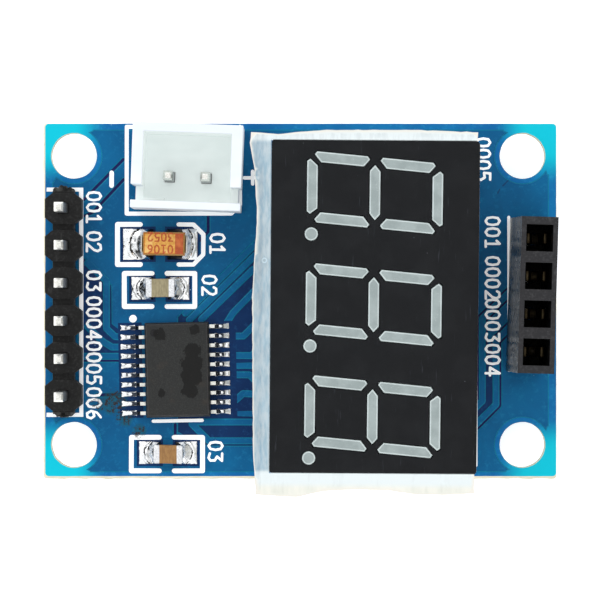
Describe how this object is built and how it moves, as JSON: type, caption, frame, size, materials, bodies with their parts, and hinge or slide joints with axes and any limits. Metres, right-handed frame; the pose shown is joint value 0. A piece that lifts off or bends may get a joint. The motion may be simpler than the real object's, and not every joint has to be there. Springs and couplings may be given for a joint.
{
  "type": "display board of an ultrasonic distance sensor",
  "caption": "Blue circuit board of an ultrasonic distance sensor with a digit display under film, a pin header, a socket, a shrouded power connector and a chip.",
  "frame": {"origin": "centre of the circuit board's underside", "axes": "+X along the board's long side from the pin header to the socket, +Y across it towards the power connector, +Z out of the component side"},
  "size_m": [0.035, 0.0253, 0.012],
  "materials": {
    "solder_mask": "satin",
    "black_nylon": "matte",
    "white_nylon": "satin",
    "tin_plate": "satin",
    "contact_bronze": "satin",
    "mould_compound": "matte",
    "amber_epoxy": "satin",
    "beige_ceramic": "satin",
    "brown_ceramic": "satin",
    "display_black": "satin",
    "light_guide": "satin",
    "fibreglass": "matte",
    "clear_film": "gloss",
    "solder": "gloss",
    "print_white": "matte",
    "masked_copper": "satin"
  },
  "bodies": {
    "board": {"circuit_board": "solder_mask", "pin_header_housing": "black_nylon", "socket_housing": "black_nylon", "power_connector_housing": "white_nylon", "chip_body": "mould_compound", "tantalum_capacitor_body": "amber_epoxy", "tantalum_terminal_negative": "tin_plate", "tantalum_terminal_positive": "tin_plate", "ceramic_capacitor_upper": "beige_ceramic", "ceramic_capacitor_lower": "brown_ceramic", "display_shell": "display_black", "display_light_guide": "light_guide", "display_led_board": "fibreglass", "header_pin_1": "tin_plate", "header_pin_2": "tin_plate", "header_pin_3": "tin_plate", "header_pin_4": "tin_plate", "header_pin_5": "tin_plate", "header_pin_6": "tin_plate", "power_pin_1": "tin_plate", "power_pin_2": "tin_plate", "chip_lead_01": "tin_plate", "chip_lead_02": "tin_plate", "chip_lead_03": "tin_plate", "chip_lead_04": "tin_plate", "chip_lead_05": "tin_plate", "chip_lead_06": "tin_plate", "chip_lead_07": "tin_plate", "chip_lead_08": "tin_plate", "chip_lead_09": "tin_plate", "chip_lead_10": "tin_plate", "chip_lead_11": "tin_plate", "chip_lead_12": "tin_plate", "chip_lead_13": "tin_plate", "chip_lead_14": "tin_plate", "chip_lead_15": "tin_plate", "chip_lead_16": "tin_plate", "chip_lead_17": "tin_plate", "chip_lead_18": "tin_plate", "chip_lead_19": "tin_plate", "chip_lead_20": "tin_plate", "display_pin_01": "tin_plate", "display_pin_02": "tin_plate", "display_pin_03": "tin_plate", "display_pin_04": "tin_plate", "display_pin_05": "tin_plate", "display_pin_06": "tin_plate", "display_pin_07": "tin_plate", "display_pin_08": "tin_plate", "display_pin_09": "tin_plate", "display_pin_10": "tin_plate", "display_pin_11": "tin_plate", "socket_contact_1": "contact_bronze", "socket_contact_2": "contact_bronze", "socket_contact_3": "contact_bronze", "socket_contact_4": "contact_bronze"},
    "film": {"protective_film": "clear_film"}
  },
  "joints": [
    {"name": "film_lift", "type": "slide", "parent": "board", "child": "film", "axis": [0, 0, 1], "range_m": [0, 0.02]}
  ]
}
